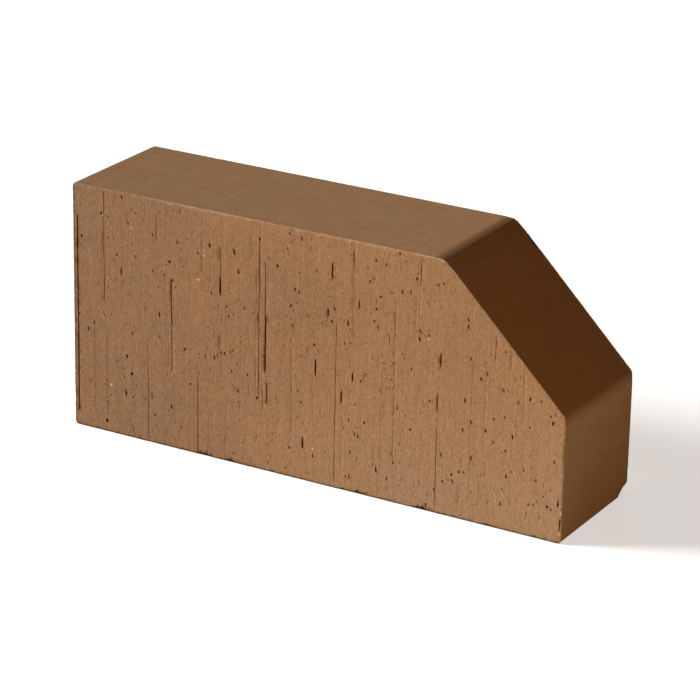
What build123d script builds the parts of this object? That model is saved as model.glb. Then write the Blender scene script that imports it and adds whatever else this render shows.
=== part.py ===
from build123d import *
import os
from math import hypot, sqrt

# A solid fired-clay stove brick, shaped at one corner. The clay is pressed through a die along Y
# and cut to thickness by a wire, so the section below runs along Y, the faces at front and back
# are wire-cut, and all others are smooth die faces. All lengths are in millimetres. The origin is
# at the middle of the long side face that the brick stands on, +X points to the shaped end,
# +Y from the front wire-cut face to the back one, and +Z up.

# Section of the die
length = 250.0
height = 117.0
cut_run = 59.5
cut_rise = 59.5
square_corner_radius = 2.0
slant_head_radius = 4.0
slant_foot_radius = 5.0

# Wire cut
thickness = 65.0
wire_arris = 0.4

# Slots that the wire drags open in the front face, each a boat-shaped kerf along the cut
slot_depth = 1.4
fine_slot_width = 0.6
wide_slot_width = 1.1
edge_overrun = 12.0

# Each slot: its distance from the square end, and the heights of its top and foot
fine_slots = [
    (2.4, 101.7, 7.3),
    (17.0, 114.5, 62.2),
    (53.0, 80.5, 36.4),
    (98.7, 109.0, 34.3),
    (137.9, 78.4, 2.4),
    (146.5, 112.5, 85.7),
    (167.4, 94.5, 18.4),
]
wide_slots = [
    (78.6, 101.9, 79.0),
    (102.0, 84.0, 47.5),
]
# Slots that run out through the lower arris: the distance from the square end, and the top
open_slots = [
    (40.4, 37.2),
    (67.0, 38.6),
    (188.7, 40.6),
]

# Chips, each a shallow conchoidal bite: the sphere's radius and how deep it bites
arris_chip_radius = 3.0
arris_chip_depth = 0.9
arris_chip_places = [53.0, 61.5, 71.0, 84.0, 151.5, 182.0]
corner_chip_radius = 7.0
corner_chip_depth = 2.2
slant_chip_radius = 4.5
slant_chip_depth = 1.5
slant_chip_place = 13.7

# Places that the sizes above give
square_end = -length / 2
shaped_end = length / 2
front = -thickness / 2
back = thickness / 2
square_foot = (square_end, 0)
square_head = (square_end, height)
shaped_foot = (shaped_end, 0)
slant_head = (shaped_end - cut_run, height)
slant_foot = (shaped_end, height - cut_rise)


def die_section():
    """The outline that the die gives, in the XZ plane, with its rounded corners."""
    outline = Polyline(square_foot, shaped_foot, slant_foot, slant_head, square_head, close=True)
    section = make_face(outline)
    rounded = [
        (square_corner_radius, [square_foot, square_head, shaped_foot]),
        (slant_foot_radius, [slant_foot]),
        (slant_head_radius, [slant_head]),
    ]
    for radius, places in rounded:
        section = fillet(corners_at(section, places), radius)
    return Plane.XZ * section


def corners_at(section, places):
    """The corners of the section that lie at the given places."""
    return [
        corner
        for corner in section.vertices()
        if any(hypot(corner.X - x, corner.Y - z) < 0.01 for x, z in places)
    ]


def drag_slot(from_square_end, top, foot, width):
    """A thin disc whose rim sinks into the front face between the slot's top and foot."""
    half_run = (top - foot) / 2
    radius = (half_run**2 + slot_depth**2) / (2 * slot_depth)
    place = (square_end + from_square_end, front + slot_depth - radius, (top + foot) / 2)
    return Location(place, (0, 90, 0)) * Cylinder(radius, width)


def chip(place, outward, radius, depth):
    """A sphere that bites the given depth into the clay at a place on an arris or corner."""
    reach = sqrt(sum(part**2 for part in outward))
    centre = [at + part / reach * (radius - depth) for at, part in zip(place, outward)]
    return Location(tuple(centre)) * Sphere(radius)


def make_brick():
    """The brick: the section drawn out between the wire cuts, with its slots and chips."""
    brick = extrude(die_section(), amount=thickness / 2, both=True)
    wire_cut_edges = brick.faces().filter_by(Axis.Y).edges()
    brick = chamfer(wire_cut_edges, wire_arris)

    for from_square_end, top, foot in fine_slots:
        brick -= drag_slot(from_square_end, top, foot, fine_slot_width)
    for from_square_end, top, foot in wide_slots:
        brick -= drag_slot(from_square_end, top, foot, wide_slot_width)
    for from_square_end, top in open_slots:
        brick -= drag_slot(from_square_end, top, -edge_overrun, fine_slot_width)

    for from_square_end in arris_chip_places:
        place = (square_end + from_square_end, front, 0)
        brick -= chip(place, (0, -1, -1), arris_chip_radius, arris_chip_depth)
    for side, y in ((-1, front), (1, back)):
        place = (shaped_end, y, 0)
        brick -= chip(place, (1, side, -1), corner_chip_radius, corner_chip_depth)

    slant_length = hypot(cut_run, cut_rise)
    down_slant = slant_chip_place / slant_length
    place = (slant_head[0] + cut_run * down_slant, back, slant_head[1] - cut_rise * down_slant)
    brick -= chip(place, (cut_rise, slant_length, cut_run), slant_chip_radius, slant_chip_depth)
    return brick


os.makedirs("parts", exist_ok=True)
shaped_brick = make_brick()
export_step(shaped_brick, "parts/shaped_brick.step")
print("shaped_brick", round(shaped_brick.volume / 1e6, 4), "litres")
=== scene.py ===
import math
import random

import bpy
import numpy as np
from mathutils import Matrix, Vector, noise
from mathutils.geometry import delaunay_2d_cdt


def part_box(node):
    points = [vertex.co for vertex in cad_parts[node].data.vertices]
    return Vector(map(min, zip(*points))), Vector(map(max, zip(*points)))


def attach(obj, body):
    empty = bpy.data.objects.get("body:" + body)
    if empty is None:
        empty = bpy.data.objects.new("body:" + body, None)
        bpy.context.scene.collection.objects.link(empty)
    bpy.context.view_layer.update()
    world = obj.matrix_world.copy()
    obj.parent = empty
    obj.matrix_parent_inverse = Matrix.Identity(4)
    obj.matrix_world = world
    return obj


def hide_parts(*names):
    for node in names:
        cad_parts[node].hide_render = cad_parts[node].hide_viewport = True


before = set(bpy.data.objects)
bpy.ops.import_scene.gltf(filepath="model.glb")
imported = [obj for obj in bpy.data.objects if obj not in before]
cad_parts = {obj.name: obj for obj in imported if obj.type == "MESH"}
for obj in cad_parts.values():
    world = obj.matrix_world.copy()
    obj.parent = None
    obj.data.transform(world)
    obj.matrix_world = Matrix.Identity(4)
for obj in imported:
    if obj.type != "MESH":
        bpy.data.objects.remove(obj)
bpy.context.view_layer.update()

cad_low, cad_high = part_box("shaped_brick")

# The brick is worked out in millimetres, in the frame's axes: X along the length towards the
# shaped end, Y from the front wire-cut face to the back one, Z up. Meshes are made in metres.
MM = 0.001

# Section of the die, as in the construction
square_end, front, floor_level = (value / MM for value in cad_low)
shaped_end, back, height = (value / MM for value in cad_high)
thickness = back - front
cut_run = 59.5
cut_rise = 59.5
square_corner_radius = 2.0
slant_head_radius = 4.0
slant_foot_radius = 5.0

# The edges of the slant are rolled over a little
roll_reach = 7.0
head_roll = 0.30
foot_roll = 0.22

# Painted shade darkens the clay beside the slant's edges, where the light falls off over the
# roundings, and a darker, redder painted shade covers the slant: the spread widens the darkest
# part of the shade beside the slant, and the lead starts the slant's shaded colour early
shade_reach_head = 5.0
shade_reach_foot = 3.5
head_shade = 0.93
head_shade_spread = 1.15
foot_shade = 0.35
shaded_slant_lead = 1.5

# How far the cut faces lie inside the wire cuts, and the die faces inside the section
face_skin = 0.10
face_swell = 0.14
die_skin = 0.02
die_streak = 0.03
die_dent = 0.07

# Worn width of the arrises, and of those of the front face that differ
arris_width = 0.28
FRONT_ARRIS_WIDTHS = {"shaped_foot": 0.16, "slant_foot": 0.16, "square_foot": 0.40, "square_head": 0.80}

# Place of the notch in the slant's back arris, measured from the sharp corner at the slant's head
notch_place = 13.7

# Marks of the wire, dark with their own deeper colour and with painted shade. One deeper than
# sharp_depth keeps a clear rim: its darkening reaches the first run below past the rim, fades over
# the second there and makes the mark look wider by the third. That of a fainter one is as strong
# as its depth, times the last number.
sharp_depth = 0.5
shade_run = 0.08
shade_fade = 0.9 * shade_run
shade_widening = 1.5 * shade_run
faint_shade = 1.6

# Steps of the mesh: along the straight runs and the roundings of the section, over the two cut
# faces, and down the sharp and the faint lines
station_step = 0.8
arc_step = 0.4
front_step = 1.35
back_step = 1.8
sharp_line_step = 1.2
faint_line_step = 2.2

# Smallest gaps: to the arris, between points of marks and others, and between rows of points
edge_gap = 0.35
mark_gap = 0.06
ground_gap = 0.40
row_gap = 0.15

# Edges of the mesh that turn by more degrees than this are drawn sharp
sharp_angle = 38


# The die section, walked round once

def unit(vector):
    return vector / np.hypot(*vector)


def smooth(share):
    """An even rise from 0 to 1 with level ends."""
    share = np.clip(share, 0, 1)
    return share * share * (3 - 2 * share)


def section_corners():
    """Each corner of the section with its radius, starting at the foot of the square end."""
    return [
        ("square_foot", (square_end, floor_level), square_corner_radius),
        ("shaped_foot", (shaped_end, floor_level), square_corner_radius),
        ("slant_foot", (shaped_end, height - cut_rise), slant_foot_radius),
        ("slant_head", (shaped_end - cut_run, height), slant_head_radius),
        ("square_head", (square_end, height), square_corner_radius),
    ]


def rounded(before, here, after, radius):
    """The two tangent points, the centre and the turn of a rounded corner."""
    into, out = unit(here - before), unit(after - here)
    turn = math.acos(float(np.clip(into @ out, -1, 1)))
    reach = radius * math.tan(turn / 2)
    inward = np.array([-into[1], into[0]])
    entry = here - into * reach
    return entry, here + out * reach, entry + inward * radius, turn


class Section:
    """Points round the section with their outward normals and the distance walked to each one.
    starts and ends hold the distances at which each straight run, named after the corner before
    it, begins and stops."""

    def __init__(self, foot_stations):
        corners = section_corners()
        places = [np.array(place, float) for _, place, _ in corners]
        count = len(corners)
        turns = [
            rounded(places[i - 1], places[i], places[(i + 1) % count], corners[i][2])
            for i in range(count)
        ]
        points, normals, walked = [], [], []
        self.starts, self.ends = {}, {}
        distance = 0.0
        for i, (name, _, _) in enumerate(corners):
            start, end = turns[i][1], turns[(i + 1) % count][0]
            along = unit(end - start)
            length = np.hypot(*(end - start))
            self.starts[name], self.ends[name] = distance, distance + length
            for station in run_stations(length, foot_stations if i == 0 else ()):
                points.append(start + along * station)
                normals.append((along[1], -along[0]))
                walked.append(distance + station)
            distance += length
            entry, _, centre, turn = turns[(i + 1) % count]
            radius = corners[(i + 1) % count][2]
            steps = max(3, math.ceil(radius * turn / arc_step))
            for k in range(steps):
                outward = turned((entry - centre) / radius, turn * k / steps)
                points.append(centre + outward * radius)
                normals.append(tuple(outward))
                walked.append(distance + radius * turn * k / steps)
            distance += radius * turn
        self.around = distance
        self.walked = np.array(walked)
        self.normals = np.array(normals)
        self.points = np.array(points) - self.normals * self.rolled()[:, None]

    def beside_slant(self, reach_head, reach_foot):
        """Two shares, 1 where the top and the end meet the slant's roundings, and down to 0 at the
        reach before them and at the slant."""
        head, foot = self.starts["slant_head"], self.ends["shaped_foot"]
        slant_start, slant_end = self.starts["slant_foot"], self.ends["slant_foot"]
        before_head = np.clip(1 - (self.walked - head) / reach_head, 0, 1)
        before_foot = np.clip(1 - (foot - self.walked) / reach_foot, 0, 1)
        over_head = smooth((self.walked - slant_end) / (head - slant_end))
        over_foot = smooth((slant_start - self.walked) / (slant_start - foot))
        return (np.where(self.walked >= head, before_head, over_head),
                np.where(self.walked <= foot, before_foot, over_foot))

    def rolled(self):
        """How far the surface falls away beside the slant's two edges. At the head it falls ever
        steeper up to the rounding, levels out on it and comes back on the slant."""
        at_head, at_foot = self.beside_slant(roll_reach, roll_reach)
        head, slant_end = self.starts["slant_head"], self.ends["slant_foot"]
        rounding = head - slant_end
        past = np.clip((head - self.walked) / rounding, 0, 1)
        levelling = 1 + 2 * rounding / roll_reach * (past - past ** 2 / 2)
        coming_back = smooth(1 - (slant_end - self.walked) / roll_reach)
        at_head = np.where(self.walked >= head, at_head ** 2, levelling * coming_back)
        return head_roll * at_head + foot_roll * at_foot ** 2

    def slant_shaded(self):
        """How much painted shade darkens the clay beside the slant."""
        at_head, at_foot = self.beside_slant(shade_reach_head, shade_reach_foot)
        return head_shade * smooth(head_shade_spread * at_head) + foot_shade * smooth(at_foot)

    def shaded_slant_share(self):
        """How much of the slant's darker, redder painted shade each point has."""
        head, foot = self.starts["slant_head"], self.ends["shaped_foot"]
        slant_start, slant_end = self.starts["slant_foot"], self.ends["slant_foot"]
        past_head = smooth((head - self.walked) / (head - slant_end))
        before_foot = smooth(shaded_slant_lead * (self.walked - foot) / (slant_start - foot))
        return np.minimum(past_head, before_foot)

    def on(self, name):
        """Which points lie on the straight run that starts at a corner, or on its two roundings."""
        margin = 1.5
        off = (self.walked - self.starts[name] + margin) % self.around
        return off < self.ends[name] - self.starts[name] + 2 * margin


def run_stations(length, wanted):
    """Even stations along a straight run, with those nearest to the wanted ones moved there."""
    steps = max(1, round(length / station_step))
    even = [length * k / steps for k in range(steps)]
    nearest = 0.4 * station_step
    clear = [s for s in even if s == 0 or all(abs(s - w) > nearest for w in wanted)]
    return sorted([*clear, *wanted])


def turned(vector, angle):
    sine, cosine = math.sin(angle), math.cos(angle)
    return np.array([cosine * vector[0] - sine * vector[1], sine * vector[0] + cosine * vector[1]])


def drift(values, spacing, seed):
    """A smooth seeded random line from -1 to 1, read at the values."""
    draw = random.Random(seed)
    values = np.asarray(values, float)
    first = math.floor(values.min() / spacing) - 1
    count = math.ceil(values.max() / spacing) - first + 3
    knots = np.array([draw.uniform(-1, 1) for _ in range(count)])
    place = values / spacing - first
    cell = np.floor(place).astype(int)
    blend = smooth(place - cell)
    return knots[cell] * (1 - blend) + knots[cell + 1] * blend


def uneven(values, swing, spacing, seed):
    """A smooth seeded random factor that swings around 1, read at the values."""
    return 1 + swing * drift(values, spacing, seed)


def mostly_small(draw, smallest, largest, power):
    """A random size that is the more often near the smallest, the higher the power is."""
    return smallest + (largest - smallest) * draw.random() ** power


# Marks of a wire-cut face

def faint_darkness(share):
    """How much of a faint mark's tone a point has, from its share of the depth."""
    return np.clip(faint_shade * share, 0, 1)


def sharp_darkness(inside):
    """How much of a sharp mark's tone a point has, from how far inside the rim it lies: all of it
    up to the rim and a little beyond."""
    return np.clip((inside + shade_run) / shade_fade, 0, 1)


class Drag:
    """A line or slot that the wire drew down the face. The tone is how dark its floor is, with its own
    deeper colour and painted shade, and only a pale one has no floor between its walls."""

    floored_tone = 0.45
    floored_wall = 0.33
    wander = 0.07
    roughness = 0.15

    # The ends fade out over a run or a share of the line, whichever is less, and the foot more
    # quickly. One point of the mesh lies above the top.
    end_run = 3.0
    end_share = 0.25
    foot_end = 0.6
    end_strength = 0.3
    above_top = 0.35

    def __init__(self, x, top, foot, width, depth, tone, seed, lean=0.0):
        self.x, self.top, self.foot = x, top, foot
        self.depth, self.tone = depth, tone
        self.seed, self.lean = seed, lean
        self.open_foot = foot <= floor_level
        self.wall_share = 1.0 if tone < self.floored_tone else self.floored_wall
        self.sharp = depth > sharp_depth
        self.width = width - shade_widening if self.sharp else width
        self.reach = abs(lean) + width + 0.5

    def spans(self, z):
        return (z <= self.top) & (z >= self.foot)

    def middle(self, z):
        run = (z - self.top) / max(1.0, self.top - self.foot)
        return self.x + self.lean * run + self.wander * drift(z, 15.0, self.seed)

    def half_width(self, z):
        share = 0.5 + 0.5 * self.fade(z)
        return 0.5 * self.width * share * uneven(z, self.roughness, 4.0, self.seed + 1)

    def fade(self, z):
        """1 along the line and down to end_strength at its ends, apart from an end that runs out."""
        run = min(self.end_run, self.end_share * (self.top - self.foot))
        from_top = np.clip((self.top - z) / run, 0, 1)
        from_foot = 1.0 if self.open_foot else np.clip((z - self.foot) / (self.foot_end * run), 0, 1)
        return self.end_strength + (1 - self.end_strength) * np.minimum(from_top, from_foot)

    def share_at(self, x, z):
        """How much of the line's depth a point has."""
        half = self.half_width(z)
        across = np.clip((half - np.abs(x - self.middle(z))) / (self.wall_share * half), 0, 1)
        rough = 1 - self.roughness + self.roughness * drift(z, 3.1, self.seed + 2)
        return np.where(self.spans(z), across * self.fade(z) * rough, 0.0)

    def darkness_at(self, x, z):
        """How much of the line's tone a point has."""
        if not self.sharp:
            return faint_darkness(self.share_at(x, z))
        inside = self.half_width(z) - np.abs(x - self.middle(z))
        return np.where(self.spans(z), sharp_darkness(inside), 0.0)

    def chains(self):
        """Columns of points along the middle and the rims of the line, along the edges of its
        floor where it has one, and just outside the rims where they are sharp."""
        foot = max(self.foot, floor_level)
        step = sharp_line_step if self.sharp else faint_line_step
        z = np.linspace(self.top, foot, max(3, math.ceil((self.top - foot) / step)))
        middle, half = self.middle(z), self.half_width(z)
        offsets = [0.0, -1.0, 1.0]
        if self.wall_share < 1:
            offsets += [self.wall_share - 1, 1 - self.wall_share]
        columns = [np.column_stack([middle + share * half, z]) for share in offsets]
        if self.sharp:
            columns += [np.column_stack([middle + side * (half + shade_run), z]) for side in (-1, 1)]
        return [np.array([[middle[0], self.top + self.above_top]]), *columns]


class Pit:
    """A small uneven hole where a grain was dragged out, usually taller than it is wide. Its rings
    of points lie at the rim, at the foot of the wall and just outside the rim, as shares of the
    way out to the outline. The tiny ones have the rim alone."""

    rim_share = 0.96
    wall_top = 0.95
    wall_run = 0.40
    wall_foot = 0.57
    swing = 0.17
    large, tiny = 0.42, 0.20

    def __init__(self, x, z, half_width, half_height, depth, tone, seed):
        self.x, self.z = x, z
        self.half_width, self.half_height = half_width, half_height
        self.depth, self.tone = depth, tone
        draw = random.Random(seed)
        self.swings = [(draw.uniform(-self.swing, self.swing), draw.uniform(0, math.tau)) for _ in range(3)]
        self.sharp = half_width > self.tiny
        self.sides = 9 if half_width > self.large else 6 if self.sharp else 4
        self.reach = half_width * 1.6 + 0.2

    def outline(self, angle):
        return 1 + sum(size * np.cos((k + 2) * angle + phase) for k, (size, phase) in enumerate(self.swings))

    def out_at(self, x, z):
        """How far out a point lies, where 1 is the outline."""
        across, up = (x - self.x) / self.half_width, (z - self.z) / self.half_height
        return np.hypot(across, up) / self.outline(np.arctan2(up, across))

    def share_at(self, x, z):
        """How much of the pit's depth a point has."""
        return np.clip((self.wall_top - self.out_at(x, z)) / self.wall_run, 0, 1)

    def darkness_at(self, x, z):
        """How much of the pit's tone a point has."""
        if not self.sharp:
            return faint_darkness(self.share_at(x, z))
        return sharp_darkness(self.half_width * (self.rim_share - self.out_at(x, z)))

    def chains(self):
        """The middle and the rings of points round it."""
        made = [np.array([[self.x, self.z]])]
        rings = [(self.rim_share, 0.0)]
        if self.sharp:
            rings += [(self.wall_foot, 0.5), (self.rim_share + shade_run / self.half_width, 0.0)]
        for share, turn in rings:
            angles = (np.arange(self.sides + 1) + turn) * math.tau / self.sides
            reach = share * self.outline(angles)
            made.append(np.column_stack([self.x + self.half_width * reach * np.cos(angles),
                                         self.z + self.half_height * reach * np.sin(angles)]))
        return made


# Lines on the front face, read from the photograph: distance from the square end, top, foot,
# width, depth and tone
FRONT_DRAGS = [
    (2.6, 101.7, 7.3, 0.8, 0.7, 0.8), (17, 115, 62.2, 0.36, 0.35, 0.45),
    (44.9, 109.5, 96.4, 0.32, 0.35, 0.41), (57.3, 115, 111.8, 0.34, 0.35, 0.52),
    (26.1, 81.4, 77.1, 0.68, 0.8, 0.9), (53, 80.5, 60, 0.52, 0.8, 0.85), (53, 62, 36.4, 0.38, 0.35, 0.49),
    (51.4, 50.1, 38.1, 0.32, 0.15, 0.34), (11.3, 53.3, 11.1, 0.23, 0.15, 0.22),
    (18.3, 50.1, 5.9, 0.23, 0.15, 0.19), (40.4, 50.3, 37.5, 0.25, 0.15, 0.26),
    (40.4, 38.5, 0, 0.38, 0.35, 0.56), (67, 38.6, 0, 0.45, 0.35, 0.6), (49.9, 9.1, 1.2, 0.32, 0.35, 0.52),
    (13, 8.7, 3.3, 0.31, 0.15, 0.38), (32.4, 6.1, 0, 0.41, 0.35, 0.6), (72.5, 25.3, 2.4, 0.27, 0.15, 0.3),
    (81.7, 31.6, 1.6, 0.29, 0.15, 0.38), (93.7, 39.5, 34.2, 0.29, 0.15, 0.38),
    (78.6, 101.9, 85, 0.4, 0.35, 0.6), (78.7, 86.5, 78.8, 1.05, 1.2, 1),
    (94.4, 111.4, 98.5, 0.25, 0.15, 0.22), (98.7, 109, 34.3, 0.4, 0.35, 0.52),
    (97.4, 95, 40, 0.23, 0.15, 0.22), (101.9, 98.5, 70.5, 0.41, 0.35, 0.56),
    (102.1, 72.5, 47.5, 0.92, 1.3, 0.95), (103.1, 42, 32.5, 0.74, 0.8, 0.85),
    (101, 41.5, 27.2, 0.29, 0.15, 0.38), (103.7, 92.5, 81.4, 0.27, 0.15, 0.38),
    (69.2, 106.2, 86.6, 0.23, 0.15, 0.22), (73.5, 87.5, 79.1, 0.27, 0.15, 0.3),
    (115.9, 73.8, 18.1, 0.25, 0.15, 0.26), (121.6, 21.2, 15.5, 0.84, 0.9, 0.9),
    (127.8, 58.6, 51.5, 0.89, 1.1, 1), (133.9, 83.8, 79.9, 0.74, 0.8, 0.9),
    (135.4, 104.5, 97, 0.68, 0.8, 0.9), (138, 78.4, 2.4, 0.36, 0.35, 0.52), (141, 46.8, 41.2, 0.89, 1, 1),
    (146.5, 56.4, 51.8, 0.84, 1, 1), (152.3, 59.1, 53.5, 0.32, 0.35, 0.45),
    (146.4, 114, 103, 0.38, 0.35, 0.52), (146.2, 103, 72, 0.25, 0.15, 0.26),
    (149.2, 90.5, 85.7, 0.65, 0.7, 0.85), (161, 60, 4, 0.23, 0.15, 0.19),
    (167.4, 94.5, 18.4, 0.31, 0.15, 0.34), (179, 114.5, 103, 0.36, 0.35, 0.52),
    (178.8, 103, 84, 0.23, 0.15, 0.22), (189.7, 74.9, 68.4, 0.74, 0.9, 0.95),
    (188.6, 55.8, 48.5, 0.57, 0.7, 0.85), (188.6, 40.6, 0, 0.4, 0.35, 0.6),
    (205, 73.3, 10, 0.23, 0.15, 0.26), (215.7, 87.5, 76.3, 0.38, 0.35, 0.56),
    (217.2, 15.4, 3.1, 0.25, 0.15, 0.34), (199.9, 16, 6.2, 0.25, 0.15, 0.26),
    (209.9, 22.5, 8.8, 0.25, 0.15, 0.22), (164.4, 77.6, 73.4, 0.36, 0.35, 0.56),
    (183.1, 97.7, 93.1, 0.29, 0.15, 0.38), (70.9, 49.7, 46.3, 0.38, 0.35, 0.56),
    (78.4, 61.2, 52.7, 0.38, 0.35, 0.56), (53.9, 30.2, 24.4, 0.27, 0.15, 0.3),
    (249, 11.4, 6.8, 0.81, 0.9, 0.95),
]

# Pits on the front face, read from the photograph: distance from the square end, height, half
# width, half height and tone
FRONT_PITS = [
    (15.6, 105, 0.54, 0.85, 0.95), (4.9, 92.3, 0.43, 0.98, 0.85), (26.6, 114.6, 0.38, 0.98, 0.85),
    (30, 103, 0.43, 0.7, 0.6), (19, 94, 0.32, 0.7, 0.55), (43, 100, 0.32, 0.84, 0.7),
    (24, 87, 0.43, 0.77, 0.55), (34, 88, 0.43, 0.77, 0.45), (52, 89, 0.7, 0.9, 0.55),
    (53.6, 80.6, 0.43, 0.77, 0.85), (43, 83, 0.27, 0.84, 0.6), (49, 82, 0.32, 1.12, 0.6),
    (56, 99, 0.32, 0.98, 0.65), (73, 100.7, 0.45, 1.33, 0.8), (67, 96, 0.32, 0.98, 0.55),
    (74, 79, 0.32, 0.98, 0.7), (82, 74, 0.49, 0.63, 0.6), (83, 69.5, 0.54, 0.6, 0.5),
    (91, 75, 0.3, 1.12, 0.5), (88, 78, 0.27, 0.56, 0.5), (85.8, 100, 0.43, 1.6, 0.9),
    (87.9, 91.6, 0.38, 1.6, 0.85), (98.7, 108.5, 0.43, 0.84, 0.9), (108, 98, 0.65, 0.8, 0.6),
    (114, 114, 0.38, 0.77, 0.75), (120, 113, 0.38, 1, 0.8), (113, 107, 0.3, 0.7, 0.55),
    (117, 89, 0.54, 0.8, 0.65), (119, 88, 0.32, 1.2, 0.5), (118, 83, 0.32, 0.56, 0.6),
    (115, 81, 0.41, 0.98, 0.75), (116, 79, 0.3, 0.56, 0.6), (116, 72, 0.35, 1.1, 0.65),
    (124, 78, 0.32, 0.56, 0.6), (119, 97, 0.38, 0.63, 0.5), (11.3, 52, 0.35, 1.2, 0.65),
    (8, 48.4, 0.49, 1.05, 0.6), (46.5, 63, 0.41, 1.6, 0.85), (32, 51, 0.38, 0.98, 0.65),
    (29, 39.2, 0.49, 1.05, 0.8), (31.6, 31.2, 0.65, 0.8, 0.95), (27, 33, 0.27, 0.7, 0.6),
    (28.2, 21.7, 0.35, 1.9, 0.9), (34, 26, 0.27, 0.7, 0.55), (32, 20, 0.27, 0.56, 0.55),
    (17, 23, 0.32, 0.63, 0.65), (39, 21, 0.3, 0.7, 0.6), (42.4, 23, 0.32, 1.9, 0.5),
    (17.9, 5.4, 0.86, 0.95, 0.95), (44, 14, 0.38, 0.98, 0.65), (53, 20, 0.45, 1.26, 0.75),
    (58, 11, 0.35, 0.84, 0.6), (60, 49, 0.76, 0.4, 0.65), (63, 33, 0.43, 0.84, 0.5),
    (75.7, 48.7, 0.35, 1.26, 0.7), (77.3, 49.8, 0.3, 1, 0.7), (79, 51.6, 0.32, 0.98, 0.7),
    (81, 51.6, 0.45, 0.77, 0.85), (83.9, 53, 0.32, 0.98, 0.6), (85.3, 53.9, 0.3, 0.84, 0.6),
    (84.8, 43.8, 0.45, 0.63, 0.85), (93, 44, 0.35, 0.7, 0.55), (88, 35.3, 0.35, 1.1, 0.75),
    (98, 34, 0.54, 0.8, 0.85), (119, 42, 0.35, 0.63, 0.55), (120.5, 37, 0.41, 0.77, 0.6),
    (127, 65.3, 0.59, 0.65, 0.85), (115, 14, 0.45, 0.7, 0.65), (113, 4, 0.38, 0.63, 0.7),
    (104, 4.3, 0.38, 0.7, 0.65), (91, 11, 0.35, 0.63, 0.65), (86, 5, 0.32, 0.7, 0.6),
    (157, 110, 0.43, 0.84, 0.85), (162, 109, 0.43, 0.7, 0.95), (168.5, 115.3, 0.43, 0.84, 0.8),
    (153, 106, 0.3, 0.63, 0.55), (154.3, 100, 0.41, 0.77, 0.85), (156, 101.6, 0.27, 0.84, 0.5),
    (159.7, 94, 0.54, 0.6, 0.8), (177, 105.5, 0.37, 1.12, 0.85), (165, 97, 0.3, 0.7, 0.55),
    (137, 84, 0.43, 0.84, 0.6), (135.7, 78, 0.49, 0.77, 0.95), (187.4, 105, 0.32, 0.7, 0.75),
    (189.8, 106, 0.38, 0.63, 0.8), (142.3, 69, 0.35, 0.98, 0.6), (143.7, 79, 0.39, 1.7, 0.75),
    (157.7, 88, 0.59, 0.6, 0.75), (156.8, 82.2, 0.41, 0.77, 0.9), (158.6, 80, 0.3, 1.26, 0.7),
    (179.2, 82.6, 0.35, 1.3, 0.8), (179, 79, 0.39, 1.26, 0.85), (183.8, 81.4, 0.38, 0.56, 0.75),
    (170, 98.6, 0.35, 1.3, 0.75), (174.3, 99.1, 0.3, 1.5, 0.6), (175.6, 64.4, 0.38, 0.7, 0.7),
    (162, 64, 0.54, 0.4, 0.55), (166.5, 65, 0.35, 0.56, 0.6), (150.7, 53.3, 0.43, 0.56, 0.75),
    (184.8, 51.4, 0.45, 0.7, 0.75), (188.8, 47.6, 0.38, 0.49, 0.8), (152.8, 34.3, 0.45, 0.84, 0.95),
    (175.7, 36.2, 0.65, 0.45, 0.85), (173, 42, 0.38, 0.63, 0.5), (169, 45, 0.3, 1.26, 0.45),
    (148, 42, 0.3, 0.84, 0.6), (145, 34, 0.35, 0.7, 0.55), (148, 27.7, 0.32, 0.84, 0.7),
    (149.6, 27.3, 0.3, 1.12, 0.6), (142.6, 29.7, 0.3, 0.56, 0.6), (146, 19, 0.38, 0.98, 0.6),
    (159, 13.8, 0.37, 1.5, 0.9), (167.6, 18.7, 0.41, 0.63, 0.8), (164.6, 10.7, 0.41, 0.77, 0.85),
    (144, 7, 0.35, 0.63, 0.75), (145.6, 7.3, 0.32, 1.12, 0.75), (188, 11, 0.35, 0.7, 0.65),
    (184.3, 2.9, 0.45, 1.12, 0.8), (192, 15.8, 0.45, 0.63, 0.7), (127, 12.9, 0.32, 1.12, 0.75),
    (202.2, 92.4, 0.3, 1.26, 0.6), (202.4, 89.3, 0.35, 1.26, 0.75), (220.4, 81.6, 0.37, 0.84, 0.75),
    (209, 67, 0.35, 0.98, 0.6), (212, 70, 0.27, 1.1, 0.55), (204, 75, 0.37, 0.98, 0.65),
    (201.8, 55.6, 0.37, 1.33, 0.85), (220, 64, 0.35, 0.84, 0.5), (232.8, 62.7, 0.45, 1.05, 0.9),
    (238, 63, 0.32, 0.84, 0.6), (227, 60, 0.32, 1.12, 0.6), (221, 52, 0.37, 0.63, 0.8),
    (215.9, 50.2, 0.35, 0.84, 0.75), (205, 46.3, 0.41, 0.98, 0.8), (242.8, 57.2, 0.43, 0.63, 0.85),
    (243.8, 54.2, 0.49, 1.12, 0.95), (201.2, 41.9, 0.37, 1.1, 0.9), (212.1, 44, 0.41, 1.12, 0.9),
    (216, 39.5, 0.37, 0.84, 0.7), (225, 43.9, 0.45, 1.12, 0.9), (233, 50, 0.37, 0.56, 0.75),
    (222, 36.9, 0.43, 0.7, 0.8), (205.6, 29.9, 0.39, 1.3, 0.9), (200, 22.1, 0.49, 0.63, 0.95),
    (202.4, 22.4, 0.35, 0.63, 0.7), (196.4, 20, 0.43, 0.84, 0.85), (197, 17, 0.3, 1.12, 0.6),
    (222.6, 25.3, 0.32, 1.4, 0.7), (225, 28, 0.3, 0.63, 0.6), (231, 30, 0.27, 0.84, 0.65),
    (237, 26.5, 0.32, 0.84, 0.65), (245.2, 37, 0.49, 0.84, 0.55), (220.3, 12, 0.37, 0.98, 0.75),
    (221, 19, 0.35, 0.56, 0.6), (240.6, 20, 0.37, 0.63, 0.75), (242.8, 15.8, 0.76, 0.6, 0.95),
    (244.4, 15, 0.43, 0.63, 0.8), (247.6, 18.3, 0.39, 1.7, 0.95), (234, 15, 0.32, 0.7, 0.65),
    (236, 15.2, 0.3, 0.63, 0.65), (233, 10.5, 0.3, 0.56, 0.6), (191, 28.2, 0.3, 1.4, 0.7),
]

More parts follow.
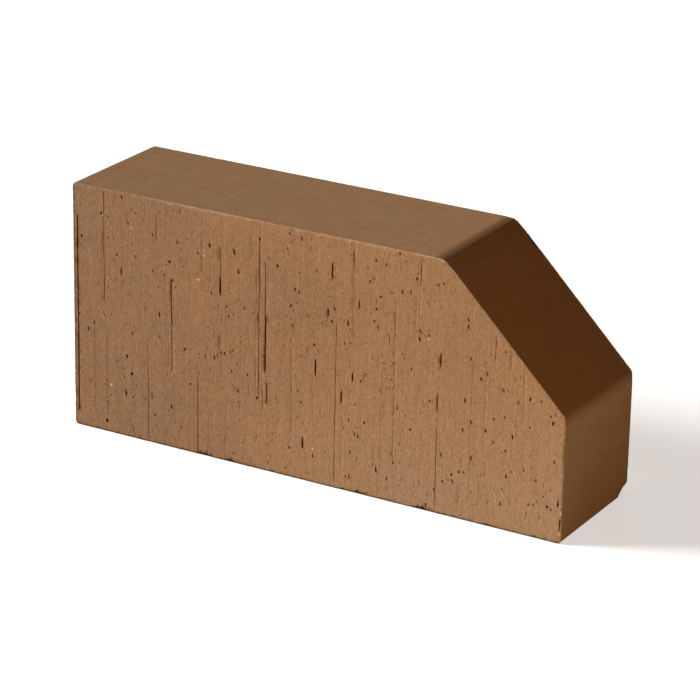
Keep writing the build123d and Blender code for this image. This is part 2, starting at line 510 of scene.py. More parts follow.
# Grains that show on the front face: distance from the square end, height and radius
ORANGE_GRAINS = [
    (19.3, 3.2, 0.95), (102.8, 46.1, 0.84), (135.6, 95.2, 0.63), (123.6, 11.3, 0.70),
    (243.7, 55.6, 0.95), (189.4, 4.2, 0.84), (131.5, 98.0, 0.56), (244.6, 13.4, 0.70),
]
# Pale spots: pale grains, and beside pits painted highlights on the pits' lit walls
PALE_GRAINS_AND_HIGHLIGHTS = [
    (16.6, 104.5, 0.45), (32.0, 101.3, 0.56), (70.2, 95.3, 0.63), (67.1, 83.7, 0.84),
    (20.2, 23.4, 0.84), (127.0, 16.2, 0.70), (183.6, 79.6, 0.70), (233.6, 62.1, 0.53),
    (249.2, 14.2, 0.63), (157.4, 29.4, 0.49), (110.3, 83.0, 0.42), (249.4, 4.6, 0.56),
]


def random_across(draw, margin):
    return draw.uniform(square_end + margin, shaped_end - margin)


def random_top(draw, length, margin):
    return draw.uniform(length + margin, height - margin)


def scattered_drags(count, seed):
    """Faint lines that the wire drew at random places of a cut face."""
    draw = random.Random(seed)
    made = []
    for k in range(count):
        length = mostly_small(draw, 6, 51, power=2)
        top = random_top(draw, length, margin=2)
        x = random_across(draw, margin=3)
        width, depth, tone = draw.uniform(0.20, 0.28), draw.uniform(0.05, 0.12), draw.uniform(0.05, 0.22)
        lean = draw.uniform(-0.5, 0.5)
        made.append(Drag(x, top, top - length, width, depth, tone, 1000 * seed + 7 * k, lean))
    return made


def scattered_slots(count, seed):
    """Deeper slots at random places of a cut face, most of them short."""
    draw = random.Random(seed)
    made = []
    for k in range(count):
        length = mostly_small(draw, 3, 63, power=3)
        top = random_top(draw, length, margin=3)
        x = random_across(draw, margin=4)
        width, tone = draw.uniform(0.35, 0.7), draw.uniform(0.6, 1.0)
        depth = 1.3 * width
        made.append(Drag(x, top, top - length, width, depth, tone, 1000 * seed + 7 * k))
    return made


def scattered_pits(count, largest, seed):
    """Small pits at random places of a cut face, most of them tiny and taller than wide."""
    draw = random.Random(seed)
    made = []
    for k in range(count):
        x = random_across(draw, margin=2)
        z = random_top(draw, 0, margin=2)
        half_width = mostly_small(draw, 0.13, largest, power=2.2)
        tall = draw.uniform(1.2, 4.5) if half_width < Pit.tiny else draw.uniform(0.9, 2.2)
        tone = draw.uniform(0.3, 0.75)
        depth = 0.15 + half_width
        made.append(Pit(x, z, half_width, half_width * tall, depth, tone, 5000 * seed + k))
    return made


def front_marks():
    drags = [
        Drag(square_end + x, top, foot, width, depth, tone, 40 + 5 * k)
        for k, (x, top, foot, width, depth, tone) in enumerate(FRONT_DRAGS)
    ]
    least_depth, deepening = 0.35, 0.8
    pits = [
        Pit(square_end + x, z, half_width, half_height, least_depth + deepening * half_width, tone, 900 + k)
        for k, (x, z, half_width, half_height, tone) in enumerate(FRONT_PITS)
    ]
    return drags + pits + scattered_drags(24, seed=3) + scattered_pits(560, largest=0.30, seed=5)


def back_marks():
    pits = scattered_pits(420, largest=0.5, seed=13)
    return scattered_drags(60, seed=11) + scattered_slots(45, seed=12) + pits


# Chips and wear of the arrises

class Chip:
    """A shell-shaped break on an arris: its middle and half length along the section, how far it
    reaches into the cut face, and how far it reaches into the die face."""

    fullness = 0.6
    raggedness = 0.2

    def __init__(self, place, half_length, into_cut, into_die, seed):
        self.place, self.half_length = place, half_length
        self.into_cut, self.into_die, self.seed = into_cut, into_die, seed

    def share(self, section):
        off = (section.walked - self.place + section.around / 2) % section.around - section.around / 2
        shape = np.clip(1 - (off / self.half_length) ** 2, 0, 1) ** self.fullness
        return shape * uneven(off, self.raggedness, 0.9, self.seed)


def scattered_chips(start, end, gap, largest, seed):
    """Small random chips along a stretch of arris."""
    draw = random.Random(seed)
    place, made = start, []
    while place < end:
        place += draw.uniform(0.4, 1.6) * gap
        size = largest * mostly_small(draw, 0.25, 1, power=2.2)
        half_length, into_die = size * draw.uniform(1.0, 2.2), size * draw.uniform(0.5, 1.0)
        made.append(Chip(place, half_length, 0.7 * size, into_die, seed + len(made)))
    return made


# Breaks on the front arris of the foot: distance from the square end, half length, and how far
# each reaches into the cut face and into the die face
FOOT_CHIPS = [
    (19.5, 2.4, 0.40, 0.8), (50.0, 1.8, 0.50, 1.1), (61.0, 2.2, 0.61, 1.3), (71.0, 3.4, 0.68, 1.5),
    (85.0, 3.2, 0.79, 1.7), (106.0, 2.6, 0.43, 0.9), (142.0, 2.0, 0.50, 1.1),
    (151.0, 3.0, 0.83, 1.7), (182.0, 3.8, 0.97, 2.0), (193.0, 1.8, 0.43, 0.9),
    (215.0, 2.4, 0.61, 1.3), (238.0, 2.6, 0.43, 0.9),
]


# Small random chips on the front arrises: the corner that the run starts at, the gap between
# them, the largest one and the seed
FRONT_SMALL_CHIPS = [
    ("square_foot", 5.0, 0.50, 310), ("square_head", 9.0, 0.45, 340), ("shaped_foot", 7.0, 0.50, 360),
    ("slant_foot", 16.0, 0.40, 380), ("slant_head", 26.0, 0.30, 395),
]

# Breaks round the lower corner at the back of the shaped end: distance from the middle of its
# rounding, half length, and how far each reaches into the cut face and into the die face
BACK_CORNER_CHIPS = [(-0.5, 5.5, 2.6, 8.5), (-10.0, 3.2, 1.3, 2.2), (9.5, 2.2, 0.8, 1.2)]


def listed_chips(origin, table, seed):
    """The breaks of a table, placed from an origin on the section."""
    return [Chip(origin + place, *sizes, seed + k) for k, (place, *sizes) in enumerate(table)]


def front_chips(section):
    """Breaks on the arrises of the front face."""
    chips = listed_chips(section.starts["square_foot"] - square_corner_radius, FOOT_CHIPS, 300)
    for name, gap, largest, seed in FRONT_SMALL_CHIPS:
        chips += scattered_chips(section.starts[name], section.ends[name], gap, largest, seed)
    return chips


def back_chips(section):
    """Breaks on the arrises of the back face, with a notch near the head of the slant."""
    notch_from_head = notch_place - slant_head_radius * math.tan(math.pi / 8)
    notch = Chip(section.ends["slant_foot"] - notch_from_head, 3.0, 1.5, 2.0, 401)
    corner = section.starts["shaped_foot"] - square_corner_radius * math.pi / 4
    chips = [notch, *listed_chips(corner, BACK_CORNER_CHIPS, 402)]
    return chips + scattered_chips(0, section.around, gap=8.0, largest=0.7, seed=420)


class Arris:
    """The worn edge between a cut face and the die faces, at every point of the section."""

    wear = 0.3
    die_share = 0.7

    # How pale the edges are, with wear and a painted highlight that is strongest along the top: the
    # top's least along the dark run from the square end, and more over the run after it
    pale = 0.35
    top_pale_least, top_pale_rise = 0.06, 0.70
    top_dark_run, top_rise_run = 30, 30

    # How dark the painted shade makes the edges at the square end, the foot and the shaped end, and in their
    # breaks
    left_dark, foot_dark, shaped_dark = 0.90, 0.65, 0.22
    broken_dark, back_broken_dark = 0.15, 0.30

    def __init__(self, section, chips, is_front, seed):
        walked = section.walked
        width = np.full(len(walked), arris_width)
        if is_front:
            for name, value in FRONT_ARRIS_WIDTHS.items():
                width[section.on(name)] = value
        self.into_cut = width * uneven(walked, self.wear, 2.3, seed)
        self.into_die = self.die_share * width * uneven(walked, self.wear, 1.9, seed + 1)
        self.broken = np.zeros(len(walked))
        for chip in chips:
            share = chip.share(section)
            self.into_cut = np.maximum(self.into_cut, chip.into_cut * share)
            self.into_die = np.maximum(self.into_die, chip.into_die * share)
            self.broken = np.maximum(self.broken, np.clip(share * 1.5, 0, 1))
        self.paleness = self.worn_and_highlit(section, is_front, seed + 2)
        self.darkness = self.edge_shade(section, is_front)

    def worn_and_highlit(self, section, is_front, seed):
        """How pale the edge is, with wear and a painted highlight: most along the top, and in patches."""
        patches = 0.75 + 0.45 * drift(section.walked, 7.0, seed) + 0.2 * drift(section.walked, 1.6, seed + 1)
        strength = np.full(len(section.walked), self.pale)
        if is_front:
            from_square_end = section.points[:, 0] - square_end
            rise = smooth((from_square_end - self.top_dark_run) / self.top_rise_run)
            on_top = self.top_pale_least + self.top_pale_rise * rise
            strength = np.where(section.on("slant_head"), on_top, strength)
            strength[section.on("square_foot") | section.on("square_head")] = 0.0
        return np.clip(strength * patches, 0, 1) * (1 - 0.6 * self.broken)

    def edge_shade(self, section, is_front):
        """How dark the painted shade makes the edge: at the square end, at the foot, at the shaped end and
        in the breaks there.
        """
        if not is_front:
            return self.back_broken_dark * self.broken
        dark = self.broken_dark * self.broken
        foot = section.on("square_foot")
        dark[section.on("shaped_foot")] = self.shaped_dark
        dark[foot] = self.foot_dark + (1 - self.foot_dark) * self.broken[foot]
        dark[section.on("square_head")] = self.left_dark
        return dark


# Meshing

def face_swelling(plan, seed):
    """The slow unevenness of a cut face, from 0 to face_swell."""
    offset = Vector((seed * 13.1, seed * 7.7, 0))
    values = [noise.noise(Vector((x / 42, z / 60, 0)) + offset) for x, z in plan]
    return face_swell * (0.5 + 0.5 * np.array(values))


def relief(plan, marks, seed):
    """How deep a cut face lies at each point, and how dark the marks are there, with their own colour and
    painted shade.
    """
    deepest, darkest = np.zeros(len(plan)), np.zeros(len(plan))
    x, z = plan[:, 0], plan[:, 1]
    for mark in marks:
        near = np.flatnonzero(np.abs(x - mark.x) < mark.reach)
        share = mark.share_at(x[near], z[near])
        darkness = mark.darkness_at(x[near], z[near])
        deepest[near] = np.maximum(deepest[near], mark.depth * share)
        darkest[near] = np.maximum(darkest[near], mark.tone * darkness)
    return face_skin + face_swelling(plan, seed) + deepest, darkest


def darker_near_foot_and_slant(plan):
    """How much darker the front face is close to its foot, which is painted shade, and close to the slant.
    """
    foot_darkening, foot_reach = 0.13, 2.6
    slant_darkening, slant_reach = 0.07, 2.4
    x, z = plan[:, 0], plan[:, 1]
    from_slant = (shaped_end + height - cut_rise - x - z) * math.sqrt(0.5)
    at_foot, at_slant = np.clip(1 - z / foot_reach, 0, 1), np.clip(1 - from_slant / slant_reach, 0, 1)
    return foot_darkening * at_foot + slant_darkening * at_slant


# The colour of a grain starts at the first of these shares of its radius and is full at the second
grain_start, grain_full = 1.1, 0.6


def grain_share(plan, grains):
    """1 on a grain and 0 off it."""
    share = np.zeros(len(plan))
    for from_square_end, z, radius in grains:
        away = np.hypot(plan[:, 0] - square_end - from_square_end, plan[:, 1] - z) / radius
        share = np.maximum(share, np.clip((grain_start - away) / (grain_start - grain_full), 0, 1))
    return share


def grain_rings(grains):
    """Two rings of points round each grain, where its colour starts and where it is full."""
    angles = np.arange(8) * math.tau / 7
    around = np.column_stack([np.cos(angles), np.sin(angles)])
    return [
        np.array([square_end + from_square_end, z]) + share * radius * around
        for from_square_end, z, radius in grains
        for share in (grain_start, grain_full)
    ]


def thin_out(points, gaps):
    """The indices of the points, without each one that lies nearer than its gap to one kept
    before it."""
    kept, cells = [], {}
    size = float(gaps.max())
    for index, ((x, z), gap) in enumerate(zip(points.tolist(), gaps.tolist())):
        column, row = math.floor(x / size), math.floor(z / size)
        beside = [
            point
            for i in (-1, 0, 1)
            for j in (-1, 0, 1)
            for point in cells.get((column + i, row + j), ())
        ]
        if all((x - a) ** 2 + (z - b) ** 2 >= gap * gap for a, b in beside):
            cells.setdefault((column, row), []).append((x, z))
            kept.append(index)
    return kept


def within(points, section, inset):
    """Which points lie inside the section by more than the arris and a margin."""
    keep = np.zeros(len(points), bool)
    widest = np.max([np.roll(inset, k) for k in range(-3, 4)], axis=0)
    at_once = 2000
    for start in range(0, len(points), at_once):
        block = points[start:start + at_once]
        gap = ((block[:, None, :] - section.points[None]) ** 2).sum(2)
        nearest = gap.argmin(1)
        deep = -((block - section.points[nearest]) * section.normals[nearest]).sum(1)
        keep[start:start + at_once] = deep > widest[nearest] + edge_gap
    return keep


def cut_face(section, arris, marks, grains, spacing, seed):
    """Triangulates a cut face inside its arris. Returns the plan points, of which the first ones
    are the arris, and the triangles."""
    rim = section.points - section.normals * arris.into_cut[:, None]
    draw = random.Random(seed)
    shift = 0.3
    ground = [
        (x + draw.uniform(-shift, shift) * spacing, z + draw.uniform(-shift, shift) * spacing)
        for x in np.arange(square_end, shaped_end, spacing)
        for z in np.arange(floor_level, height, spacing)
    ]
    chains = [chain for mark in marks for chain in mark.chains()] + grain_rings(grains)
    lengths = [len(chain) for chain in chains] + [1] * len(ground)
    chain_of = np.repeat(np.arange(len(lengths)), lengths)
    points = np.concatenate([*chains, np.array(ground)])
    gaps = np.where(chain_of < len(chains), mark_gap, ground_gap)
    usable = np.flatnonzero(within(points, section, arris.into_cut))
    kept = usable[thin_out(points[usable], gaps[usable])]
    count = len(rim)
    edges = [(k, (k + 1) % count) for k in range(count)]
    for k, (here, after) in enumerate(zip(kept, kept[1:])):
        if chain_of[here] == chain_of[after] and after - here <= 2:
            edges.append((count + k, count + k + 1))
    wanted = [Vector(point) for point in np.concatenate([rim, points[kept]]).tolist()]
    found, _, triangles, sources, _, _ = delaunay_2d_cdt(wanted, edges, [], 1, 1e-6, True)
    rim_first = {}
    for index, origins in enumerate(sources):
        for origin in origins:
            if origin < count:
                rim_first[index] = origin
    if len(rim_first) != count:
        raise RuntimeError("the triangulation lost points of the arris")
    place = dict(rim_first)
    for index in range(len(found)):
        if index not in place:
            place[index] = len(place)
    plan = np.zeros((len(found), 2))
    for index, point in enumerate(found):
        plan[place[index]] = point
    return plan, [tuple(place[index] for index in triangle) for triangle in triangles]


def die_rows():
    """Distances from the front plane of the rows of points along the die faces."""
    near = [1.6, 2.6, 4.5, 7.5, 11.5, 16.0, 21.0, 26.5]
    return near + [thickness / 2] + [thickness - value for value in reversed(near)]


def die_sag(section, y):
    """How far the die faces lie inside the true section: streaks of the die and slow dents."""
    broken_up = uneven(section.walked + 0.6 * y, 0.5, 0.9, 62)
    streak = die_streak * uneven(section.walked, 1, 1.7, 61) * broken_up
    dent = die_dent * uneven(section.walked + 9 * math.sin(y / 17), 1, 26.0, 63)
    return die_skin + streak + dent


class BrickMesh:
    """Collects rings of points and their paint, and makes the closed mesh."""

    paints = ("cavity", "pale_edge", "dark_edge", "wire_cut", "flash", "smoke", "orange_grain", "pale_grain")

    def __init__(self):
        self.vertices, self.faces = [], []
        self.paint = {name: [] for name in self.paints}

    def add(self, plan, y, **paint):
        """Adds points, given by their X and Z and their Y, and returns the index of the first."""
        start = len(self.vertices)
        self.vertices.extend(zip(plan[:, 0], y, plan[:, 1]))
        for name in self.paints:
            values = paint.get(name, 0.0)
            self.paint[name].extend(np.broadcast_to(values, len(plan)))
        return start

    def bridge(self, first, second, count):
        """Joins two rings of points by quads."""
        for k in range(count):
            after = (k + 1) % count
            self.faces.append((first + k, second + k, second + after, first + after))

    def finish(self, name):
        mesh = bpy.data.meshes.new(name)
        mesh.from_pydata([(x * MM, y * MM, z * MM) for x, y, z in self.vertices], [], self.faces)
        mesh.update()
        for paint, values in self.paint.items():
            layer = mesh.attributes.new(paint, "FLOAT", "POINT")
            layer.data.foreach_set("value", np.array(values, np.float32))
        mesh.polygons.foreach_set("use_smooth", [True] * len(mesh.polygons))
        mesh.set_sharp_from_angle(angle=math.radians(sharp_angle))
        return add_object(name, mesh)


def add_object(name, data):
    made = bpy.data.objects.new(name, data)
    bpy.context.scene.collection.objects.link(made)
    return made


def add_cut_side(brick, section, arris, marks, grains, spacing, seed, is_front):
    """One cut face with its arris. Returns the three rings of points from the face to the die
    face, and how deep the last of them lies."""
    plan, triangles = cut_face(section, arris, marks, grains[0] + grains[1], spacing, seed)
    deep, dark = relief(plan, marks, seed)
    count = len(section.points)
    plane, inward = (front, 1) if is_front else (back, -1)
    # The pale edges are wear with a painted highlight, and the dark edges are painted shade
    pale, edge_shade = np.zeros(len(plan)), np.zeros(len(plan))
    pale[:count], edge_shade[:count] = arris.paleness, arris.darkness
    # Painted shade at the front face's foot, and darker beside the slant
    if is_front:
        edge_shade = np.maximum(edge_shade, darker_near_foot_and_slant(plan))
    face = brick.add(plan, plane + inward * deep, cavity=dark, pale_edge=pale, dark_edge=edge_shade, wire_cut=1.0,
                     orange_grain=grain_share(plan, grains[0]), pale_grain=grain_share(plan, grains[1]))
    for triangle in triangles:
        ordered = triangle if is_front else triangle[::-1]
        brick.faces.append(tuple(face + index for index in ordered))

    hollow = 0.3 * np.minimum(arris.into_cut, arris.into_die) * np.clip(2 * arris.broken - 1, 0, 1)
    bulge = 0.35
    shift = bulge * arris.into_cut + hollow
    depth = deep[:count] + bulge * arris.into_die + 0.8 * hollow
    # Painted shade on the slant and beside its edges
    flash, smoke = section.shaded_slant_share(), section.slant_shaded()
    # Breaks in the arris get the marks' colour with painted shade
    middle = brick.add(section.points - section.normals * shift[:, None], plane + inward * depth,
                       cavity=0.25 * arris.broken, pale_edge=arris.paleness, dark_edge=arris.darkness,
                       wire_cut=0.6, flash=0.4 * flash, smoke=0.4 * smoke)
    depth = deep[:count] + arris.into_die
    outer_points = section.points - section.normals * die_sag(section, 0.0)[:, None]
    outer = brick.add(outer_points, plane + inward * depth, pale_edge=0.4 * arris.paleness,
                      dark_edge=0.7 * arris.darkness, flash=flash, smoke=smoke)
    return (face, middle, outer), depth


def make_brick():
    """The whole brick as one closed mesh: two cut faces, their arrises and the die faces."""
    marks_front, marks_back = front_marks(), back_marks()
    foot_start = square_end + square_corner_radius
    open_slots = [mark for mark in marks_front if isinstance(mark, Drag) and mark.open_foot]
    low = np.array([FRONT_ARRIS_WIDTHS["square_foot"]])
    foot_stations = [
        float(slot.middle(low)[0] + side * slot.half_width(low)[0]) - foot_start
        for slot in open_slots
        for side in (-1, 0, 1)
    ]
    section = Section(foot_stations)
    front_arris = Arris(section, front_chips(section), True, 21)
    back_arris = Arris(section, back_chips(section), False, 31)

    brick = BrickMesh()
    grains = (ORANGE_GRAINS, PALE_GRAINS_AND_HIGHLIGHTS)
    front_rings, front_depth = add_cut_side(
        brick, section, front_arris, marks_front, grains, front_step, 21, True)
    back_rings, back_depth = add_cut_side(
        brick, section, back_arris, marks_back, ([], []), back_step, 22, False)
    rings = list(front_rings)
    # Painted shade on the slant and beside its edges
    flash, smoke = section.shaded_slant_share(), section.slant_shaded()
    for y in die_rows():
        level = np.maximum(y, front_depth + row_gap + 0.02 * y)
        level = np.minimum(level, thickness - back_depth - row_gap - 0.02 * (thickness - y))
        ring = section.points - section.normals * die_sag(section, y)[:, None]
        rings.append(brick.add(ring, front + level, flash=flash, smoke=smoke))
    rings += reversed(back_rings)
    for first, second in zip(rings, rings[1:]):
        brick.bridge(first, second, len(section.points))
    return brick.finish("fired_clay_brick")


# Materials

def add_node(tree, kind, inputs=None, **settings):
    """A shader node with its settings, and its inputs set to values or joined to sockets."""
    made = tree.nodes.new(kind)
    for name, value in settings.items():
        setattr(made, name, value)
    for name, value in (inputs or {}).items():
        socket = made.inputs[name]
        if isinstance(value, bpy.types.NodeSocket):
            tree.links.new(value, socket)
        else:
            socket.default_value = value
    return made


def mix_colour(tree, share, first, second, blend="MIX"):
    """A colour between two, or the second blended over the first."""
    sockets = {0: share, 6: first, 7: second}
    return add_node(tree, "ShaderNodeMix", sockets, data_type="RGBA", blend_type=blend).outputs[2]


def calculate(tree, operation, first, second=0.0):
    return add_node(tree, "ShaderNodeMath", {0: first, 1: second}, operation=operation).outputs[0]


def remap(tree, value, low, high, to_low=0.0, to_high=1.0):
    made = add_node(tree, "ShaderNodeMapRange", {"Value": value, "From Min": low, "From Max": high,
                                                 "To Min": to_low, "To Max": to_high})
    return made.outputs["Result"]


def attribute(tree, name):
    return add_node(tree, "ShaderNodeAttribute", attribute_name=name).outputs["Fac"]


def noise_at(tree, place, scale, detail=3, roughness=0.6, stretch=(1, 1, 1)):
    moved = add_node(tree, "ShaderNodeMapping", {"Vector": place, "Scale": stretch}).outputs[0]
    made = add_node(tree, "ShaderNodeTexNoise", {"Vector": moved, "Scale": scale, "Detail": detail,
                                                 "Roughness": roughness})
    return made.outputs["Fac"]


def shade(tree, colour, tone):
    """A colour made lighter and paler, or darker and deeper, by a tone around 1."""
    green, blue = calculate(tree, "POWER", tone, 1.12), calculate(tree, "POWER", tone, 1.4)
    tint = add_node(tree, "ShaderNodeCombineColor", {0: tone, 1: green, 2: blue}).outputs[0]
    return mix_colour(tree, 1.0, colour, tint, "MULTIPLY")


def specks(tree, place, scale, radius, rarity, stretch=(1, 1, 1)):
    """Scattered round grains: 1 inside a grain, and only in a share of the cells."""
    moved = add_node(tree, "ShaderNodeMapping", {"Vector": place, "Scale": stretch}).outputs[0]
    cells = add_node(tree, "ShaderNodeTexVoronoi", {"Vector": moved, "Scale": scale, "Randomness": 1.0})
    near = remap(tree, cells.outputs["Distance"], radius, radius * 0.4)
    parts = add_node(tree, "ShaderNodeSeparateColor", {"Color": cells.outputs["Color"]})
    chosen = calculate(tree, "GREATER_THAN", parts.outputs[0], 1 - rarity)
    return calculate(tree, "MULTIPLY", near, chosen)


# Colours of the clay, linear. The tints of painted shade towards the square end, on the slant and beside it
# multiply them.
CUT_TAN = (0.353, 0.190, 0.094, 1)
CUT_GREY = (0.292, 0.170, 0.096, 1)
# Painted light on the cut face near the foot of the shaped end
CUT_PAINTED_LIGHT = (0.363, 0.218, 0.126, 1)
CUT_ORANGE = (0.388, 0.195, 0.086, 1)
DIE_BROWN = (0.328, 0.189, 0.100, 1)
DIE_RED = (0.344, 0.182, 0.088, 1)
# Painted shade near the foot of the shaped end
DIE_FOOT_SHADE = (0.306, 0.140, 0.059, 1)
# Tint of the painted shade towards the square end
SQUARE_END_SHADE = (0.89, 0.93, 0.97, 1)
# Tint of the painted shade on the slant
SHADED_SLANT = (0.735, 0.560, 0.370, 1)
# Tint of the painted shade beside the slant's edges
SLANT_SHADE = (0.46, 0.39, 0.29, 1)
# Wear with a painted highlight on the edges
WORN_AND_HIGHLIT_EDGE = (0.482, 0.312, 0.190, 1)
# Painted shade on the edges
SHADED_EDGE = (0.075, 0.050, 0.034, 1)
# The marks' own deeper colour, with painted shade in the hollows
HOLE_BROWN_AND_SHADE = (0.135, 0.027, 0.0015, 1)
GRAIN_ORANGE = (0.440, 0.175, 0.070, 1)
# Pale grains, and the painted highlights beside pits
PALE_GRAIN_AND_HIGHLIGHT = (0.600, 0.400, 0.220, 1)
GRAIN_DARK = (0.140, 0.048, 0.014, 1)


def vary(tree, colour, pattern, swing):
    """A colour made lighter and darker by a noise pattern, by a swing to both sides."""
    return shade(tree, colour, remap(tree, pattern, 0.3, 0.7, 1 - swing, 1 + swing))


def cut_face_colour(tree, place):
    """Torn clay: slow patches, down-drawn streaks, sand and a few grains of grog, with painted light that
    brightens it towards the shaped end and its foot.
    """
    parts = add_node(tree, "ShaderNodeSeparateXYZ", {"Vector": place}).outputs
    # Warmer towards the shaped end, partly the clay's own grey patch and partly painted light, with random
    # slow patches
    uneven_warmth = remap(tree, noise_at(tree, place, 16), 0.35, 0.65, -0.4, 0.4)
    warmth = calculate(tree, "ADD", remap(tree, parts["X"], square_end * MM, 0.02), uneven_warmth)
    colour = mix_colour(tree, remap(tree, warmth, 0, 1), CUT_GREY, CUT_TAN)
    # Painted light: paler towards the foot of the shaped end
    low, shaped = remap(tree, parts["Z"], 0.065, 0.015), remap(tree, parts["X"], -0.06, 0.05)
    colour = mix_colour(tree, calculate(tree, "MULTIPLY", low, shaped), colour, CUT_PAINTED_LIGHT)
    mottle = noise_at(tree, place, 190, stretch=(1, 1, 0.5))
    colour = mix_colour(tree, remap(tree, mottle, 0.5, 0.75, 0, 0.5), colour, CUT_ORANGE)
    colour = vary(tree, colour, noise_at(tree, place, 1, stretch=(620, 620, 18)), 0.05)
    sand = noise_at(tree, place, 1500, roughness=0.75, stretch=(1, 1, 0.5))
    colour = vary(tree, colour, sand, 0.22)
    ticks = specks(tree, place, 700, 0.30, 0.14, stretch=(1, 1, 0.33))
    colour = mix_colour(tree, calculate(tree, "MULTIPLY", ticks, 0.75), colour, GRAIN_DARK)
    pale_grains = specks(tree, place, 620, 0.32, 0.010)
    return mix_colour(tree, calculate(tree, "MULTIPLY", pale_grains, 0.5), colour, PALE_GRAIN_AND_HIGHLIGHT)


def die_face_colour(tree, place):
    """Clay smoothed by the die, with painted shade: darker towards the square end, darker and redder near
    the shaped end's foot and on the slant, and darker beside the slant's edges.
    """
    mottle = noise_at(tree, place, 40, detail=4)
    colour = mix_colour(tree, remap(tree, mottle, 0.35, 0.7), DIE_BROWN, DIE_RED)
    colour = vary(tree, colour, noise_at(tree, place, 1, stretch=(380, 12, 380)), 0.025)
    colour = vary(tree, colour, noise_at(tree, place, 110), 0.05)
    parts = add_node(tree, "ShaderNodeSeparateXYZ", {"Vector": place}).outputs
    # Painted shade: darker towards the square end
    far_along = remap(tree, parts["X"], 0.06, square_end * MM)
    colour = mix_colour(tree, far_along, colour, SQUARE_END_SHADE, "MULTIPLY")
    # Painted shade: darker and redder near the foot of the shaped end
    low, shaped = remap(tree, parts["Z"], 0.045, 0.005, 0, 0.8), remap(tree, parts["X"], -0.08, 0.10)
    colour = mix_colour(tree, calculate(tree, "MULTIPLY", low, shaped), colour, DIE_FOOT_SHADE)
    colour = vary(tree, colour, noise_at(tree, place, 900, roughness=0.7), 0.10)
    # Painted shade: darker and redder on the slant
    colour = mix_colour(tree, attribute(tree, "flash"), colour, SHADED_SLANT, "MULTIPLY")
    # Painted shade beside the slant's edges
    return mix_colour(tree, attribute(tree, "smoke"), colour, SLANT_SHADE, "MULTIPLY")


def clay_material():
    """Unglazed fired clay, smooth on the die faces and torn on the cut ones."""
    material = bpy.data.materials.new("fired_clay")
    material.use_nodes = True
    tree = material.node_tree
    shader = tree.nodes["Principled BSDF"]
    place = add_node(tree, "ShaderNodeTexCoord").outputs["Object"]
    cut = attribute(tree, "wire_cut")

    torn, smoothed = cut_face_colour(tree, place), die_face_colour(tree, place)
    colour = mix_colour(tree, cut, smoothed, torn)
    # Pale edges: wear with a painted highlight
    patchy = remap(tree, noise_at(tree, place, 700, detail=2), 0.35, 0.6, 0.45, 1.0)
    pale_share = calculate(tree, "MULTIPLY", attribute(tree, "pale_edge"), patchy)
    colour = mix_colour(tree, pale_share, colour, WORN_AND_HIGHLIT_EDGE)
    paints = {"dark_edge": SHADED_EDGE, "orange_grain": GRAIN_ORANGE, "pale_grain": PALE_GRAIN_AND_HIGHLIGHT,
              "cavity": HOLE_BROWN_AND_SHADE}
    for name, paint in paints.items():
        colour = mix_colour(tree, attribute(tree, name), colour, paint)
    tree.links.new(colour, shader.inputs["Base Color"])

    tree.links.new(remap(tree, cut, 0, 1, 0.7, 0.9), shader.inputs["Roughness"])
    shader.inputs["Specular IOR Level"].default_value = 0.02
    combing = noise_at(tree, place, 1, detail=4, roughness=0.65, stretch=(1500, 1500, 90))
    grain = noise_at(tree, place, 1900)
    torn_height = calculate(tree, "ADD", combing, calculate(tree, "MULTIPLY", grain, 0.8))
    smooth_height = calculate(tree, "MULTIPLY", grain, 0.25)
    both = add_node(tree, "ShaderNodeMix", {0: cut, 2: smooth_height, 3: torn_height}, data_type="FLOAT")
    bump = add_node(tree, "ShaderNodeBump", {"Height": both.outputs[0], "Strength": 0.6, "Distance": 0.0003})
    tree.links.new(bump.outputs["Normal"], shader.inputs["Normal"])
    return material


def seen_rays(tree):
    """1 for the rays that show a background: the camera's own, mirrored and clear ones."""
    path = add_node(tree, "ShaderNodeLightPath").outputs
    mirrored = calculate(tree, "MAXIMUM", path["Is Camera Ray"], path["Is Glossy Ray"])
    return calculate(tree, "MAXIMUM", mirrored, path["Is Transmission Ray"])


def floor_material():
    """A pale matt floor that the camera sees as white, with the brick's shadow kept."""
    material = bpy.data.materials.new("pale_floor")
    material.use_nodes = True
    tree = material.node_tree
    shader = tree.nodes["Principled BSDF"]
    shader.inputs["Base Color"].default_value = (0.5, 0.46, 0.40, 1)
    shader.inputs["Roughness"].default_value = 1.0
    shader.inputs["Specular IOR Level"].default_value = 0.0
    seen = add_node(tree, "ShaderNodeBsdfDiffuse", {"Color": (0.75, 0.75, 0.75, 1)})
    glow = add_node(tree, "ShaderNodeEmission", {"Color": (1, 1, 1, 1), "Strength": 0.55})
    both = add_node(tree, "ShaderNodeAddShader", {0: seen.outputs[0], 1: glow.outputs[0]})
    surface = {0: seen_rays(tree), 1: shader.outputs[0], 2: both.outputs[0]}
    final = add_node(tree, "ShaderNodeMixShader", surface)
    tree.links.new(final.outputs[0], tree.nodes["Material Output"].inputs["Surface"])
    return material


# The object

brick = make_brick()
brick.data.materials.append(clay_material())
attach(brick, "root")
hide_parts("shaped_brick")


# The floor, lights, world and camera

def make_floor():
    size = 6.0
    mesh = bpy.data.meshes.new("floor")
    corners = [(-size, -size, 0), (size, -size, 0), (size, size, 0), (-size, size, 0)]
    mesh.from_pydata(corners, [], [(0, 1, 2, 3)])
    mesh.materials.append(floor_material())
    ground = add_object("floor", mesh)


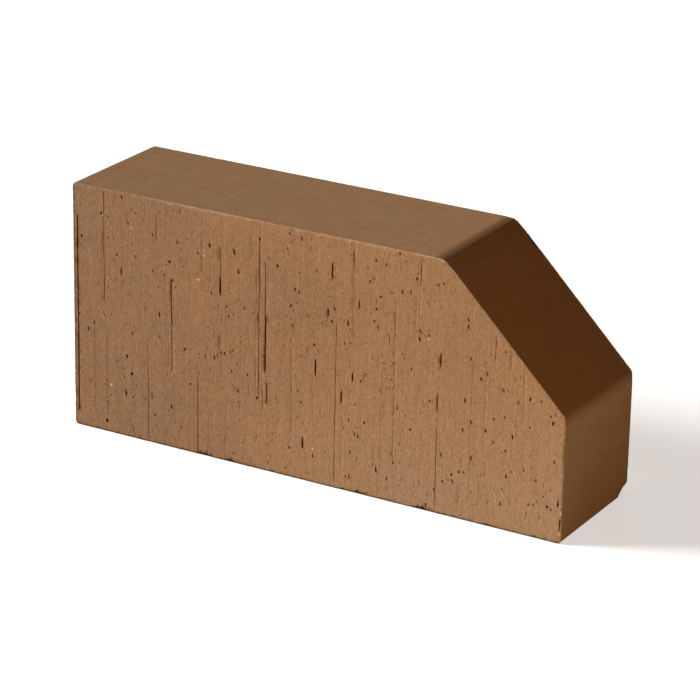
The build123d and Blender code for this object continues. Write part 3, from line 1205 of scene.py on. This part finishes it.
def add_softbox(name, direction, distance, size, level, colour=(1, 1, 1)):
    """A square soft light that looks at the brick from a direction. At level 1 a surface that
    faces it shows its colour as written."""
    aim = Vector((0, 0, 0.05))
    toward = Vector(direction).normalized()
    lamp = bpy.data.lights.new(name, "AREA")
    lamp.shape, lamp.size, lamp.color = "SQUARE", size, colour
    lamp.energy = level * (math.pi * distance) ** 2
    made = add_object(name, lamp)
    made.location = aim + toward * distance
    made.rotation_mode = "QUATERNION"
    made.rotation_quaternion = toward.to_track_quat("Z", "Y")


def make_world():
    """White where the camera sees it, and a dim warm fill for the object."""
    world = bpy.data.worlds.new("studio")
    bpy.context.scene.world = world
    world.use_nodes = True
    tree = world.node_tree
    fill = tree.nodes["Background"]
    fill.inputs["Color"].default_value = (1.0, 0.60, 0.30, 1)
    fill.inputs["Strength"].default_value = 0.10
    white = add_node(tree, "ShaderNodeBackground", {"Color": (1, 1, 1, 1), "Strength": 1.0})
    sky = {0: seen_rays(tree), 1: fill.outputs[0], 2: white.outputs[0]}
    both = add_node(tree, "ShaderNodeMixShader", sky)
    tree.links.new(both.outputs[0], tree.nodes["World Output"].inputs["Surface"])


# The photograph's viewpoint: azimuth from the front, elevation and roll in degrees, then the place
# in metres and the lens and sensor in millimetres
camera_angles = (29.785, 21.09, 1.14)
camera_place = (0.6630, -1.1557, 0.5658)
camera_lens = 165.1
camera_sensor = 36


def make_camera():
    azimuth, elevation, roll = (math.radians(value) for value in camera_angles)
    backward = Vector((math.sin(azimuth) * math.cos(elevation),
                       -math.cos(azimuth) * math.cos(elevation), math.sin(elevation)))
    level = Vector((math.cos(azimuth), math.sin(azimuth), 0))
    above = backward.cross(level)
    right = math.cos(roll) * level + math.sin(roll) * above
    up = math.cos(roll) * above - math.sin(roll) * level
    camera = bpy.data.cameras.new("camera")
    camera.sensor_width = camera_sensor
    camera.lens = camera_lens
    made = add_object("camera", camera)
    turn = Matrix((right, up, backward)).transposed().to_4x4()
    made.matrix_world = Matrix.Translation(camera_place) @ turn
    bpy.context.scene.camera = made


make_floor()
make_world()
make_camera()
add_softbox("key_left", (-0.80, -0.37, 0.42), distance=6.0, size=1.8, level=1.53)
add_softbox("fill_right", (0.75, -0.66, 0.06), distance=0.60, size=0.2, level=0.29, colour=(1, 0.85, 0.62))
add_softbox("back_left", (-0.45, 0.89, 0.0), distance=1.5, size=0.12, level=0.7)

bpy.context.scene.view_settings.view_transform = "Standard"
